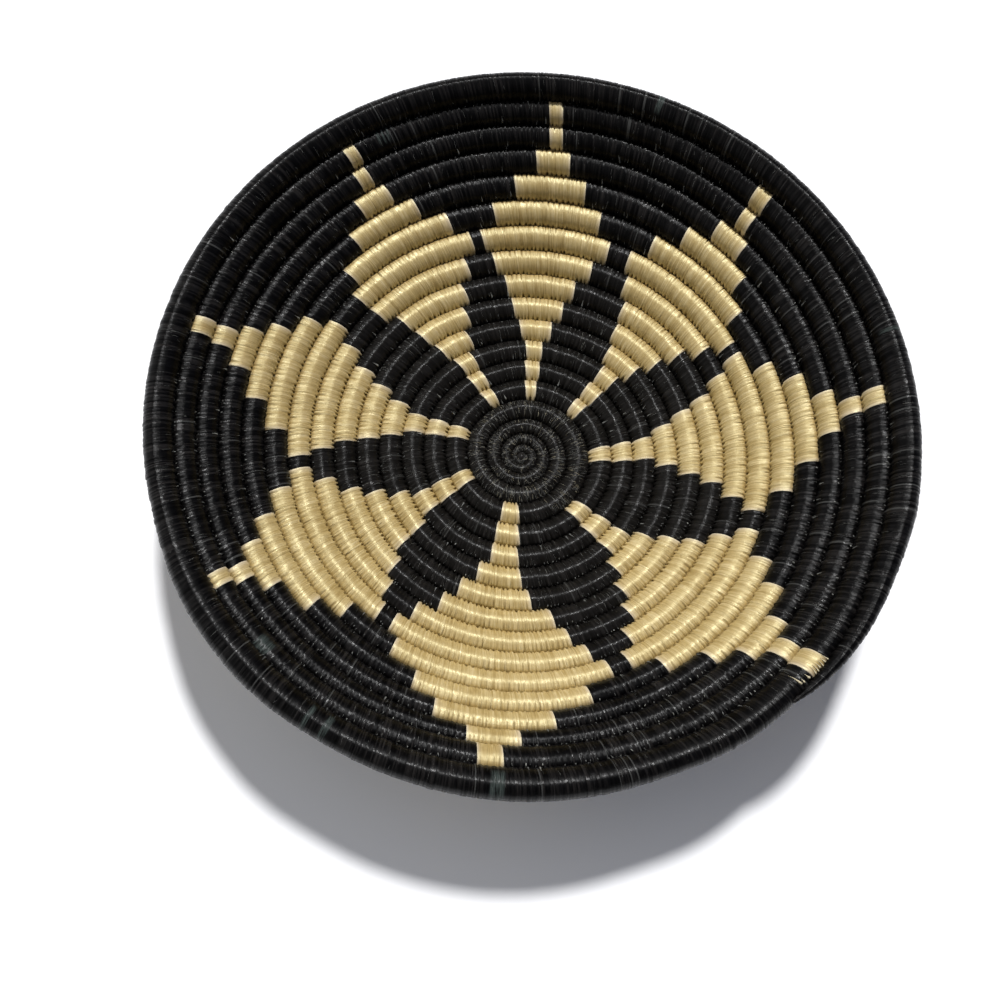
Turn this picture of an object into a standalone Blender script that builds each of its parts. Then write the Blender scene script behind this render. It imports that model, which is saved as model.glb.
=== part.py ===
"""A shallow coiled basket: one long bundle of grass, wrapped in black and natural sisal.

The bundle winds outwards from the middle of the base, clockwise as seen from above, and every
round is stitched to the round before it. Where the wrapping thread changes colour a new piece
begins: a black centre, eight natural petals, eight black fields between them, a black rim and
the rim's thin tail. Each is one body, because its stitches bite into its own round below, and
each has a channel through every round, where the grass bundle runs.

The frame: +Z is up, the basket stands on the plane Z = 0, and the origin lies below the middle
of its box. A place on the coil is given in turns: whole turns count the rounds of the pattern,
from turn 0 where the first one begins, and the centre has negative turns.
"""

import math

import bmesh
import bpy
import numpy as np
from mathutils import Vector

MM = 0.001

# The wall runs level from the middle of the base and curves up to this slope at the rim.
RIM_SLOPE = math.radians(43.5)

# The coil.
CENTRE_TURNS = 4.5                    # rounds of the plain centre, with its pointed start
RIM_TURNS = 0.86                      # of the rim's round, at its full width
TAIL_TURNS = 0.095                    # of the rim's round, thinned to a tail at its end
START_RADIUS = 0.3 * MM               # the small eye that the coil starts from
CENTRE_RADIUS = 20.8 * MM             # along the wall, where the pattern's first round begins
CENTRE_PITCH = 8.6 * MM               # width of a round at the centre's edge
PATTERN_PITCH = 9.6 * MM              # width of the pattern's first round
PITCH_GROWTH = 0.094 * MM             # what each further round is wider
START_ANGLE = math.radians(295.0)     # where the pattern's rounds begin, from +X towards +Y

# A round's own section, six-sided, as shares of the round's width.
CREST_SHARE = 0.50                    # half its height at the crest
NECK_SHARE = 0.20                     # half its height where two rounds meet
TAIL_TIP_SHARE = 0.35                 # of the full width that is left at the tail's tip
FOOT_CUT_SHARE = 0.1                  # of a round's height, cut flat where the basket stands
LOOP_POINTS = 20                      # sections in one round
WALL_STEPS = 480                      # in which the wall's curve is added up
SAME_TURN = 1e-7                      # turns closer than this are one place

WRAP_WALL = 1.3 * MM                  # thickness of the wrapping round its channel
LEAST_BUNDLE = 0.4 * MM               # half of the bundle's width, where it starts and ends
CORE_CLEARANCE = 0.3 * MM             # between the channel and the grass bundle
SEAM_GAP = 0.3 * MM                   # between two wrappings of unlike colour
SNAP_LENGTH = 0.6 * MM                # a run that ends this close to a section ends on it

# The petals, in the order in which the coil meets them: where each points up to its widest
# round and beyond it, how far its stem is turned back at the centre, its size, and how often
# its widest round is repeated.
PETALS = (
    ("south", 260.3, 264.0, 2.0, 1.42, 1),
    ("southwest", 208.3, 209.0, 6.5, 1.18, 0),
    ("northwest", 164.6, 163.8, 5.8, 1.05, 0),
    ("north_northwest", 120.6, 122.2, 3.0, 0.98, 0),
    ("north", 84.2, 84.8, 1.6, 0.94, 0),
    ("northeast", 44.8, 44.9, 1.2, 1.00, 0),
    ("east", 4.1, 4.0, 1.5, 1.19, 0),
    ("southeast", 316.5, 317.4, 0.8, 1.28, 0),
)
# The width along the round of a petal of size 1, round by round from the centre.
PETAL_CHART = tuple(width * MM for width in
                    (5.2, 6.9, 8.0, 15.4, 24.5, 33.5, 47.5, 61.0, 50.5, 33.0, 15.5, 6.0, 5.5))
STEM_ROUNDS = 4                       # rounds over which a stem straightens out

PATTERN_TURNS = len(PETAL_CHART)
WIDEST_ROUND = PETAL_CHART.index(max(PETAL_CHART))
TAIL_START_TURN = PATTERN_TURNS + RIM_TURNS
TAIL_END_TURN = TAIL_START_TURN + TAIL_TURNS

MATERIALS = {
    "natural_sisal": ((0.72, 0.56, 0.28, 1.0), 0.45),
    "black_sisal": ((0.015, 0.014, 0.015, 1.0), 0.5),
    "grass_bundle": ((0.50, 0.40, 0.20, 1.0), 0.85),
}


def groove(turn):
    """Distance along the wall of the groove on the inner side of the round at this turn."""
    if turn >= 0.0:
        return CENTRE_RADIUS + PATTERN_PITCH * turn + PITCH_GROWTH * turn * turn / 2.0
    drop = CENTRE_RADIUS - CENTRE_PITCH * CENTRE_TURNS - START_RADIUS
    return CENTRE_RADIUS + CENTRE_PITCH * turn - drop * (turn / CENTRE_TURNS) ** 2


def make_wall_table():
    """Slope, radius and height of the wall at steps of its own length."""
    length = groove(PATTERN_TURNS + 1.0)
    along = np.linspace(0.0, 1.2 * length, WALL_STEPS + 1)
    share = np.clip(along / length, 0.0, 1.0)
    slope = RIM_SLOPE * (1.0 - np.cos(np.pi * share)) / 2.0
    middle = (slope[1:] + slope[:-1]) / 2.0
    step = np.diff(along)
    radius = np.concatenate([[0.0], np.cumsum(np.cos(middle) * step)])
    height = np.concatenate([[0.0], np.cumsum(np.sin(middle) * step)])
    return along, slope, radius, height


WALL = make_wall_table()


def tail_share(turn):
    """How much of its full width the round still has, which falls only along the tail."""
    if turn <= TAIL_START_TURN:
        return 1.0
    run = min((turn - TAIL_START_TURN) / TAIL_TURNS, 1.0)
    return 1.0 - (1.0 - TAIL_TIP_SHARE) * run


def round_width(turn):
    """Width of the round at this turn, from its inner groove to its outer one."""
    return (groove(turn + 1.0) - groove(turn)) * tail_share(turn)


def wall_point(along, turn, lift):
    """A point at a distance along the wall, lifted square off it towards the inside."""
    angle = START_ANGLE - 2.0 * math.pi * turn
    slope = np.interp(along, WALL[0], WALL[1])
    radius = np.interp(along, WALL[0], WALL[2]) - lift * math.sin(slope)
    height = np.interp(along, WALL[0], WALL[3]) + lift * math.cos(slope)
    return Vector((radius * math.cos(angle), radius * math.sin(angle), height))


def neck_height(turn):
    """Half the thickness of the neck between the rounds at turn - 1 and turn."""
    inner = round_width(turn - 1.0) if turn - 1.0 >= -CENTRE_TURNS else round_width(turn)
    return NECK_SHARE * inner


def between_stations(turn, place):
    """Reads place(turn) on the straight line between the two stations around this turn."""
    low = math.floor((turn + SAME_TURN) * LOOP_POINTS) / LOOP_POINTS
    share = max((turn - low) * LOOP_POINTS, 0.0)
    return place(low).lerp(place(low + 1.0 / LOOP_POINTS), share)


def neck_point(turn, side, shift):
    """A corner of the neck inside the round at this turn: side is 1 on top, -1 below."""
    def place(at):
        tail = (tail_share(at - 1.0) - 1.0) * (groove(at) - groove(at - 1.0))
        return wall_point(groove(at) + tail + shift, at, side * neck_height(at))
    return between_stations(turn, place)


def crest_point(turn, side):
    """The highest point of a round's section, or the lowest where side is -1."""
    def place(at):
        width = round_width(at)
        return wall_point(groove(at) + width / 2.0, at, side * CREST_SHARE * width)
    return between_stations(turn, place)


def bundle_half(turn):
    """Half of the bundle's width, from corner to corner."""
    return round_width(turn) / 2.0 - WRAP_WALL - CORE_CLEARANCE


def bundle_corner(turn, corner, clearance):
    """One of the bundle's four corners, or of its channel's with the clearance added."""
    def place(at):
        half = bundle_half(at) + clearance
        sideways = (half, 0.0, -half, 0.0)[corner]
        lift = (0.0, half, 0.0, -half)[corner]
        return wall_point(groove(at) + round_width(at) / 2.0 + sideways, at, lift)
    return between_stations(turn, place)


def bundle_span():
    """The turns between which the rounds are thick enough to hold a bundle."""
    steps = range(math.ceil(-CENTRE_TURNS * LOOP_POINTS) + 1, math.floor(TAIL_END_TURN * LOOP_POINTS))
    start = next(k for k in steps if bundle_half(k / LOOP_POINTS) >= LEAST_BUNDLE) / LOOP_POINTS
    end = TAIL_END_TURN
    while bundle_half(end) < LEAST_BUNDLE:
        end -= TAIL_TURNS / LOOP_POINTS
    return start, min(end, TAIL_END_TURN - turns_of(WRAP_WALL, TAIL_END_TURN))


def stations(start, end):
    """The shared sections that lie inside a run, with its own two ends."""
    steps = range(math.floor(start * LOOP_POINTS), math.ceil(end * LOOP_POINTS) + 1)
    turns = [step / LOOP_POINTS for step in steps]
    return [start] + [turn for turn in turns if is_inside(turn, (start, end))] + [end]


def is_inside(turn, run):
    """Whether a turn lies inside a run, and not on one of its ends."""
    return run[0] + SAME_TURN < turn < run[1] - SAME_TURN


def turns_of(length, turn):
    """How many turns a length along the round takes."""
    radius = np.interp(groove(turn + 0.5), WALL[0], WALL[2])
    return length / (2.0 * math.pi * radius)


def petal_runs(petal):
    """The stretches of coil that one petal covers, as pairs of turns."""
    inner_degrees, outer_degrees, twist, size, repeats = petal[1:]
    runs = []
    for row in range(PATTERN_TURNS):
        chart_row = row if row <= WIDEST_ROUND else max(row - repeats, WIDEST_ROUND)
        stem = max(1.0 - row / STEM_ROUNDS, 0.0) ** 2
        degrees = inner_degrees if row <= WIDEST_ROUND else outer_degrees
        angle = math.radians(degrees - twist * stem)
        middle = row + ((START_ANGLE - angle) / (2.0 * math.pi)) % 1.0
        half = turns_of(size * PETAL_CHART[chart_row], middle) / 2.0
        runs.append((on_station(middle - half), on_station(middle + half)))
    return runs


def on_station(turn):
    """Moves an end that falls almost on a shared section onto it."""
    near = round(turn * LOOP_POINTS) / LOOP_POINTS
    return near if abs(near - turn) < turns_of(SNAP_LENGTH, turn) else turn


def lay_out_wrappings():
    """Every wrapping with its material and its runs along the coil."""
    petals = [petal_runs(petal) for petal in PETALS]
    stops = sorted((start, end) for runs in petals for start, end in runs)
    fields = [[] for _ in PETALS]
    last_end = 0.0
    for number, (start, end) in enumerate(stops):
        fields[number % len(PETALS)].append((last_end, start))
        last_end = end
    plan = [("centre_wrapping", "black_sisal", [(-CENTRE_TURNS, 0.0)])]
    for petal, runs in zip(PETALS, petals):
        plan.append(("petal_" + petal[0], "natural_sisal", runs))
    for petal, runs in zip(PETALS, fields):
        plan.append(("field_before_" + petal[0], "black_sisal", runs))
    plan.append(("rim_wrapping", "black_sisal", [(last_end, TAIL_START_TURN)]))
    plan.append(("tail_wrapping", "black_sisal", [(TAIL_START_TURN, TAIL_END_TURN)]))
    return plan


class Wrapping:
    """Builds the closed skin of one wrapping, whose neighbouring rounds share their necks."""

    def __init__(self, runs):
        self.runs = runs
        self.mesh = bmesh.new()
        self.vertices = {}

    def covers(self, turn):
        return any(start < turn < end for start, end in self.runs)

    def key_of(self, kind, turn, side):
        return kind, round(turn / SAME_TURN), side

    def vertex(self, key, point):
        if key not in self.vertices:
            self.vertices[key] = self.mesh.verts.new(point)
        return self.vertices[key]

    def face(self, *corners):
        self.mesh.faces.new(corners)

    def inset(self, turn):
        """Which way a neck vertex moves to leave the seam: along the coil, and across it."""
        ahead = across = 0
        for along_sign in (-1, 1):
            for across_sign in (-1, 1):
                inner = 1.0 if across_sign < 0 else 0.0
                if self.covers(turn + along_sign * SAME_TURN - inner):
                    ahead += along_sign
                    across += across_sign
        return (ahead > 0) - (ahead < 0), (across > 0) - (across < 0)

    def neck(self, turn, side):
        """The vertex on the neck inside the round at this turn."""
        ahead, across = self.inset(turn)
        moved = turn + ahead * turns_of(SEAM_GAP / 2.0, turn)
        point = neck_point(moved, side, across * SEAM_GAP / 2.0)
        return self.vertex(self.key_of("neck", turn, side), point)

    def run_end(self, turn, run):
        """The turn of a section, drawn in by half a seam at either end of its run."""
        if turn == run[0]:
            return turn + turns_of(SEAM_GAP / 2.0, turn)
        if turn == run[1]:
            return turn - turns_of(SEAM_GAP / 2.0, turn)
        return turn

    def crest(self, turn, side, run):
        point = crest_point(self.run_end(turn, run), side)
        return self.vertex(self.key_of("crest", turn, side), point)

    def channel(self, turn, corner, run):
        point = bundle_corner(self.run_end(turn, run), corner, CORE_CLEARANCE)
        return self.vertex(self.key_of("channel", turn, corner), point)

    def neck_turns(self, run, outwards):
        """Where the neck on one side of a run needs vertices, in the run's own turns."""
        shift = 1.0 if outwards else -1.0
        ends = [end - shift for other in self.runs for end in other]
        turns = [turn for turn in ends if is_inside(turn, run)] + stations(*run)
        distinct = {round(turn / SAME_TURN): turn for turn in turns}
        return sorted(distinct.values())

    def strip(self, first, second):
        """Triangles between two lines of (turn, vertex) that start and end together."""
        i = j = 0
        while i < len(first) - 1 or j < len(second) - 1:
            if j == len(second) - 1:
                take_first = True
            elif i == len(first) - 1:
                take_first = False
            else:
                take_first = first[i + 1][0] <= second[j + 1][0]
            if take_first:
                self.face(first[i][1], first[i + 1][1], second[j][1])
                i += 1
            else:
                self.face(first[i][1], second[j + 1][1], second[j][1])
                j += 1

    def add_run(self, run):
        for outwards in (False, True):
            lines = {}
            for side in (1, -1):
                shift = 1.0 if outwards else 0.0
                turns = self.neck_turns(run, outwards)
                lines[side] = [(turn, self.neck(turn + shift, side)) for turn in turns]
                crest = [(turn, self.crest(turn, side, run)) for turn in stations(*run)]
                self.strip(lines[side], crest)
            self.close_neck(lines, outwards)
        self.add_channel(run)

    def close_neck(self, lines, outwards):
        """Walls along the neck where the round beyond it belongs to another wrapping."""
        beyond = 1.0 if outwards else -1.0
        for upper, lower in zip(zip(lines[1], lines[1][1:]), zip(lines[-1], lines[-1][1:])):
            middle = (upper[0][0] + upper[1][0]) / 2.0
            if not self.covers(middle + beyond):
                self.face(upper[0][1], upper[1][1], lower[1][1])
                self.face(upper[0][1], lower[1][1], lower[0][1])

    def add_channel(self, run):
        """The channel for the bundle, and the run's two end faces around it."""
        start, end = bundle_span()
        bore = (max(run[0], start), min(run[1], end))
        turns = stations(*bore)
        for start, end in zip(turns, turns[1:]):
            for corner in range(4):
                after = (corner + 1) % 4
                self.face(self.channel(start, corner, run), self.channel(end, corner, run),
                          self.channel(end, after, run), self.channel(start, after, run))
        for turn, bored in ((run[0], bore[0]), (run[1], bore[1])):
            ring = [self.channel(bored, corner, run) for corner in range(4)]
            outline = [self.neck(turn + 1.0, 1), self.crest(turn, 1, run), self.neck(turn, 1),
                       self.neck(turn, -1), self.crest(turn, -1, run), self.neck(turn + 1.0, -1)]
            if turn != bored:
                self.face(*ring)
                self.face(*outline)
                continue
            right, top, left, bottom = ring
            upper_out, upper, upper_in, lower_in, lower, lower_out = outline
            self.face(right, upper_out, upper, top)
            self.face(top, upper, upper_in, left)
            self.face(left, upper_in, lower_in)
            self.face(left, lower_in, lower, bottom)
            self.face(bottom, lower, lower_out, right)
            self.face(right, lower_out, upper_out)

    def build(self):
        for run in self.runs:
            self.add_run(run)
        bmesh.ops.recalc_face_normals(self.mesh, faces=self.mesh.faces)
        return self.mesh


def make_bundle():
    """The grass bundle: one unbroken four-sided tube from the centre to the rim's tail."""
    start, end = bundle_span()
    start += turns_of(CORE_CLEARANCE, start)
    end -= turns_of(CORE_CLEARANCE, end)
    mesh = bmesh.new()
    rings = []
    for turn in stations(start, end):
        corners = [bundle_corner(turn, corner, 0.0) for corner in range(4)]
        rings.append([mesh.verts.new(point) for point in corners])
    for ring, following in zip(rings, rings[1:]):
        for corner in range(4):
            after = (corner + 1) % 4
            mesh.faces.new((ring[corner], following[corner], following[after], ring[after]))
    mesh.faces.new(rings[0])
    mesh.faces.new(rings[-1])
    bmesh.ops.recalc_face_normals(mesh, faces=mesh.faces)
    return mesh


def least_gap_of_bundle():
    """The smallest space between the bundle's rounds, measured on its sections."""
    start, end = bundle_span()
    turns = stations(start, end)
    least = math.inf
    for turn in turns:
        outer = bundle_corner(turn, 0, 0.0)
        for step in (-2, -1, 0, 1, 2):
            beyond = turn + 1.0 + step / LOOP_POINTS
            if beyond < end:
                least = min(least, (bundle_corner(beyond, 2, 0.0) - outer).length)
    return least


def cut_foot(mesh, height):
    """Cuts a wrapping flat where the basket stands."""
    if min(vertex.co.z for vertex in mesh.verts) >= height:
        return
    geometry = mesh.verts[:] + mesh.edges[:] + mesh.faces[:]
    cut = bmesh.ops.bisect_plane(mesh, geom=geometry, dist=1e-7, plane_co=(0.0, 0.0, height),
                                 plane_no=(0.0, 0.0, 1.0), clear_inner=True)
    edges = [part for part in cut["geom_cut"] if isinstance(part, bmesh.types.BMEdge)]
    bmesh.ops.holes_fill(mesh, edges=edges, sides=0)
    bmesh.ops.recalc_face_normals(mesh, faces=mesh.faces)


def make_materials():
    made = {}
    for name, (colour, roughness) in MATERIALS.items():
        material = bpy.data.materials.new(name)
        material.use_nodes = True
        shader = material.node_tree.nodes["Principled BSDF"]
        shader.inputs["Base Color"].default_value = colour
        shader.inputs["Roughness"].default_value = roughness
        shader.inputs["Metallic"].default_value = 0.0
        material.diffuse_color = colour
        made[name] = material
    return made


def main():
    for thing in list(bpy.data.objects):
        bpy.data.objects.remove(thing)
    meshes = [("grass_foundation", "grass_bundle", make_bundle())]
    for name, material, runs in lay_out_wrappings():
        meshes.append((name, material, Wrapping(runs).build()))

    lowest = min(vertex.co.z for _, _, mesh in meshes for vertex in mesh.verts)
    foot = lowest + FOOT_CUT_SHARE * 2.0 * CREST_SHARE * round_width(0.0)
    for _, _, mesh in meshes:
        cut_foot(mesh, foot)

    points = np.array([vertex.co for _, _, mesh in meshes for vertex in mesh.verts])
    middle = (points.min(axis=0) + points.max(axis=0)) / 2.0
    to_origin = Vector((-middle[0], -middle[1], -foot))
    materials = make_materials()
    for name, material, mesh in meshes:
        bmesh.ops.translate(mesh, verts=mesh.verts, vec=to_origin)
        data = bpy.data.meshes.new(name)
        mesh.to_mesh(data)
        mesh.free()
        data.materials.append(materials[material])
        bpy.context.scene.collection.objects.link(bpy.data.objects.new(name, data))
    print(f"least gap of the grass bundle to itself: {least_gap_of_bundle() / MM:.2f} mm")


main()
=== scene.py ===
# %% [markdown]
# # A coiled sisal basket
# This notebook dresses a shallow coiled basket in Blender. The real one is a long bundle of grass,
# wound like a watch spring and wrapped all over in sisal thread, with every round stitched
# through the round before it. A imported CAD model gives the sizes. Here each plain CAD solid gets a
# detailed piece in its place, stitch by stitch, and every size is in metres with Z upwards.

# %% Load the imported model
import math

import bpy
import numpy as np
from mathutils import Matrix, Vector


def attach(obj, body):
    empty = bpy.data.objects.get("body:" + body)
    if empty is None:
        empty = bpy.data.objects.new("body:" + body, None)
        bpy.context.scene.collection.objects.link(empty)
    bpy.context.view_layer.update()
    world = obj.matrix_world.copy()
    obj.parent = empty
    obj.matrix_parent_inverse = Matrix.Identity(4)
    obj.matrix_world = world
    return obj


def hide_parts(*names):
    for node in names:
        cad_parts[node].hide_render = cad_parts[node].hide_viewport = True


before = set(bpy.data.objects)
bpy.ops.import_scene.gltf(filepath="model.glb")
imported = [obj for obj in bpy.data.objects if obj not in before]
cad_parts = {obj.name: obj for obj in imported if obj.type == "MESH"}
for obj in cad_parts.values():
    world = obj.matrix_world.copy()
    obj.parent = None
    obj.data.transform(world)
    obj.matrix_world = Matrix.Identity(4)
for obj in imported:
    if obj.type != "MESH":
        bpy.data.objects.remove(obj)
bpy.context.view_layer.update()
print("CAD nodes:", len(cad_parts))

# %% [markdown]
# ## The camera
# The photograph looks down into the bowl, tipped about 15 degrees towards the viewer. The lens and
# the camera's place were worked out from the rings of the coil: a round that is level and of known
# width can only look as it does from one place. A camera's rotation about X tips it up from
# looking straight down, and a little about Y leans it sideways.

# %% Place the camera
MM = 0.001
camera_data = bpy.data.cameras.new("photo_camera")
camera_data.lens = 43.2
camera_data.sensor_width = 36.0
camera = bpy.data.objects.new("photo_camera", camera_data)
camera.location = Vector((-31.249, -163.436, 512.033)) * MM
camera.rotation_euler = (0.2709, -0.0388, 0.0)
bpy.context.scene.collection.objects.link(camera)
bpy.context.scene.camera = camera
print("camera height:", round(camera.location.z, 3), "m")

# %% [markdown]
# ## The path of the coil
# A place on the coil is counted in turns. Turn 0 is where the pattern begins, the plain centre has
# negative turns, and the rim is turn 13. The groove between two rounds lies at a distance along the
# wall that grows a little more with each turn, because the maker's bundle gets slightly thicker.
# These are the numbers of the CAD model, so the stitches land on its solids. Hands don't wind a
# true spiral, though: in a few places the rounds are pushed in or out by a millimetre or two, and
# a short table of such pushes makes the outline as uneven as the real one.

# %% Describe the coil
CENTRE_TURNS = 4.5
START_RADIUS = 0.3 * MM
CENTRE_RADIUS = 20.8 * MM
CENTRE_PITCH = 8.6 * MM
PATTERN_PITCH = 9.6 * MM
PITCH_GROWTH = 0.094 * MM
START_ANGLE = math.radians(295.0)
RIM_OUTSIDE = 14.0
TAIL_START = 13.86
TAIL_THINS = 13.864
TAIL_END = 13.957
TAIL_LOSS = 0.62
TIP_LOSS = 0.28
PUSHES = (
    # angle, its spread in degrees, turn, its spread in turns, push in millimetres
    (263.0, 26.0, 12.1, 0.9, -2.2),
    (280.0, 22.0, 14.2, 0.8, 0.4),
    (313.0, 19.0, 14.2, 1.6, 3.5),
    (218.0, 15.5, 14.2, 0.8, 1.8),
    (82.0, 34.0, 5.0, 3.6, -2.2),
    (122.0, 22.0, 2.8, 3.0, -1.0),
    (84.0, 30.0, 11.3, 1.8, 1.3),
    (6.0, 28.0, 1.8, 1.2, 0.8),
    (300.0, 62.0, 6.0, 5.0, 1.6),
    (200.0, 48.0, 10.0, 3.0, 1.1),
    (338.0, 26.0, 10.8, 1.8, 1.0),
)


def groove(turn):
    """Distance along the wall of the groove on the inner side of the round at this turn."""
    turn = np.asarray(turn, float)
    pattern = CENTRE_RADIUS + PATTERN_PITCH * turn + PITCH_GROWTH * turn * turn / 2.0
    drop = CENTRE_RADIUS - CENTRE_PITCH * CENTRE_TURNS - START_RADIUS
    centre = CENTRE_RADIUS + CENTRE_PITCH * turn - drop * (turn / CENTRE_TURNS) ** 2
    distance = np.where(turn >= 0.0, pattern, centre)
    degrees = np.degrees(START_ANGLE) - 360.0 * turn
    for angle, angle_spread, middle, turn_spread, push in PUSHES:
        aside = (degrees - angle + 180.0) % 360.0 - 180.0
        near = np.exp(-((aside / angle_spread) ** 4) - ((turn - middle) / turn_spread) ** 2)
        distance = distance + push * MM * near
    return distance


def round_width(turn):
    """Width of the round, which thins only along the rim's tail, slowly and then at once."""
    along_tail = np.clip((turn - TAIL_THINS) / (TAIL_END - TAIL_THINS), 0.0, 1.0)
    left = 1.0 - TAIL_LOSS * along_tail - TIP_LOSS * along_tail ** 8
    return (groove(turn + 1.0) - groove(turn)) * left


print("first and last round:", [round(1000.0 * float(round_width(t)), 2) for t in (0.0, 13.0)], "mm")

# %% [markdown]
# ## The wall of the bowl
# The base is level in the middle and curves up to 43.5 degrees at the rim. Adding up short steps
# along that curve gives the radius and height of any place on the wall, and `wall_point` turns a
# distance, a turn and a lift off the wall into a point in space. Nothing goes below the table, so
# the stitches under the base are pressed flat. NumPy does it for thousands of points at once.

# %% Add up the wall
RIM_SLOPE = math.radians(43.5)
COIL_MIDDLE = np.array((-1.9773, -1.9731, 3.4698)) * MM
WALL_STEPS = 480
PAST_THE_RIM = 1.2
wall_length = float(groove(RIM_OUTSIDE))
wall_along = np.linspace(0.0, PAST_THE_RIM * wall_length, WALL_STEPS + 1)
wall_slope = RIM_SLOPE * (1.0 - np.cos(np.pi * np.clip(wall_along / wall_length, 0.0, 1.0))) / 2.0
half_slope = (wall_slope[1:] + wall_slope[:-1]) / 2.0
wall_step = np.diff(wall_along)
wall_radius = np.concatenate([[0.0], np.cumsum(np.cos(half_slope) * wall_step)])
wall_height = np.concatenate([[0.0], np.cumsum(np.sin(half_slope) * wall_step)])


def wall_point(along, turn, lift):
    """Points at a distance along the wall, lifted square off it towards the inside."""
    angle = START_ANGLE - 2.0 * np.pi * turn
    slope = np.interp(along, wall_along, wall_slope)
    radius = np.interp(along, wall_along, wall_radius) - lift * np.sin(slope)
    height = np.interp(along, wall_along, wall_height) + lift * np.cos(slope)
    place = np.stack([radius * np.cos(angle), radius * np.sin(angle), height], axis=-1) + COIL_MIDDLE
    place[..., 2] = np.maximum(place[..., 2], 0.0)
    return place


rim_height = float(np.interp(wall_length, wall_along, wall_height))
print("wall rises", round(1000.0 * rim_height, 1), "mm")

# %% [markdown]
# ## The pattern
# Eight natural petals stand on a black ground. The weaver counts stitches: each petal has a chart of
# widths, one for every round, which swells to the eighth round and shrinks again. The chart is
# stretched by each petal's size, and the south petal, the widest, repeats its broadest round. The
# petals were measured again on the photograph for this notebook, so an edge can lie up to about a
# stitch from the CAD model's. Where the weaver lost count by a stitch or two, a short list moves
# the start or the end of a stretch.

# %% Chart the petals
PETALS = (
    # name, direction of its inner and outer half, twist of its stem, size, rounds repeated
    ("south", 260.8, 263.7, 2.0, 1.39, 1),
    ("southwest", 209.5, 209.3, 6.0, 1.18, 0),
    ("northwest", 165.8, 164.6, 4.8, 1.05, 0),
    ("north_northwest", 121.0, 122.5, 3.0, 0.98, 0),
    ("north", 83.8, 84.2, 1.6, 0.97, 0),
    ("northeast", 43.6, 44.3, 2.2, 1.01, 0),
    ("east", 2.7, 3.1, 3.0, 1.19, 0),
    ("southeast", 315.35, 316.35, 2.2, 1.28, 0),
)
PETAL_CHART = (5.2, 6.9, 8.0, 15.4, 24.5, 33.5, 47.5, 61.0, 50.5, 33.0, 15.5, 6.0, 5.5)
SLIPS = (
    # petal, round, millimetres by which the stretch starts and ends later
    (0, 3, 3.0, -0.6),
    (0, 4, 4.3, -0.4),
    (0, 6, 1.8, 0.6),
    (0, 7, 1.6, -0.7),
    (0, 8, -2.8, 2.2),
    (0, 9, -2.2, -1.0),
    (0, 10, -0.6, 1.7),
    (0, 12, 0.0, 1.8),
    (1, 4, 2.5, 0.0),
    (1, 9, -2.6, 1.0),
    (1, 10, 0.0, 2.2),
    (2, 10, 0.3, 2.5),
    (2, 11, 0.2, 2.4),
    (2, 12, 0.0, 1.5),
    (3, 6, -2.2, -0.4),
    (3, 8, -0.8, 2.0),
    (4, 12, -1.6, -0.9),
    (5, 12, -2.0, 0.0),
    (6, 8, 2.0, 0.3),
    (6, 12, -1.8, -0.5),
    (7, 8, 3.1, 0.8),
    (7, 9, -0.6, -2.1),
    (7, 12, -1.2, 0.4),
)
STEM_ROUNDS = 4
WIDEST_ROUND = 7


def turns_of(length, turn):
    """How many turns a length along the round takes."""
    return length / (2.0 * np.pi * np.interp(groove(turn + 0.5), wall_along, wall_radius))


def petal_stretches(petal):
    """The stretches of coil that one petal covers, as pairs of turns."""
    inner_degrees, outer_degrees, twist, size, repeats = petal[1:]
    stretches = []
    for row in range(len(PETAL_CHART)):
        chart_row = row if row <= WIDEST_ROUND else max(row - repeats, WIDEST_ROUND)
        stem = max(1.0 - row / STEM_ROUNDS, 0.0) ** 2
        degrees = inner_degrees if row <= WIDEST_ROUND else outer_degrees
        angle = math.radians(degrees - twist * stem)
        middle = row + ((START_ANGLE - angle) / (2.0 * math.pi)) % 1.0
        half = turns_of(size * PETAL_CHART[chart_row] * MM, middle) / 2.0
        stretches.append((float(middle - half), float(middle + half)))
    return stretches


petals = [petal_stretches(petal) for petal in PETALS]
for number, row, start_later, end_later in SLIPS:
    start, end = petals[number][row]
    start += float(turns_of(start_later * MM, start))
    end += float(turns_of(end_later * MM, end))
    petals[number][row] = (start, end)
natural_stretches = sorted(sum(petals, []))
natural_starts, natural_ends = np.array(natural_stretches).T


def is_natural(turn):
    """Whether natural thread covers the coil at these turns."""
    before = np.searchsorted(natural_starts, turn) - 1
    return (before >= 0) & (turn < natural_ends[before])


print("natural stretches:", len(natural_starts))

# %% [markdown]
# ## Who wraps what
# Between two natural stretches the thread is black. Walking along the coil and handing out the
# black stretches in turn gives eight black fields. The plan lists each wrapping with its stretches
# under the name of the CAD node that it stands for. The rim is split in two, so that no single
# piece gets too many faces.

# %% Plan the wrappings
black_stretches = [[] for petal in PETALS]
last_end = 0.0
for number, (start, end) in enumerate(natural_stretches):
    black_stretches[number % len(PETALS)].append((last_end, start))
    last_end = end
wrappings = [("centre_wrapping", "centre_wrapping", "black_sisal", [(-CENTRE_TURNS, 0.0)])]
for petal, stretches in zip(PETALS, petals):
    wrappings.append(("petal_" + petal[0], "petal_" + petal[0], "natural_sisal", stretches))
for petal, stretches in zip(PETALS, black_stretches):
    wrappings.append(("field_before_" + petal[0], "field_before_" + petal[0], "black_sisal", stretches))
rim_middle = (last_end + TAIL_START) / 2.0
wrappings.append(("rim_first_half", "rim_wrapping", "black_sisal", [(last_end, rim_middle)]))
wrappings.append(("rim_second_half", "rim_wrapping", "black_sisal", [(rim_middle, TAIL_START)]))
wrappings.append(("tail_wrapping", "tail_wrapping", "black_sisal", [(TAIL_START, TAIL_END)]))
print("wrappings:", len(wrappings))

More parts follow.
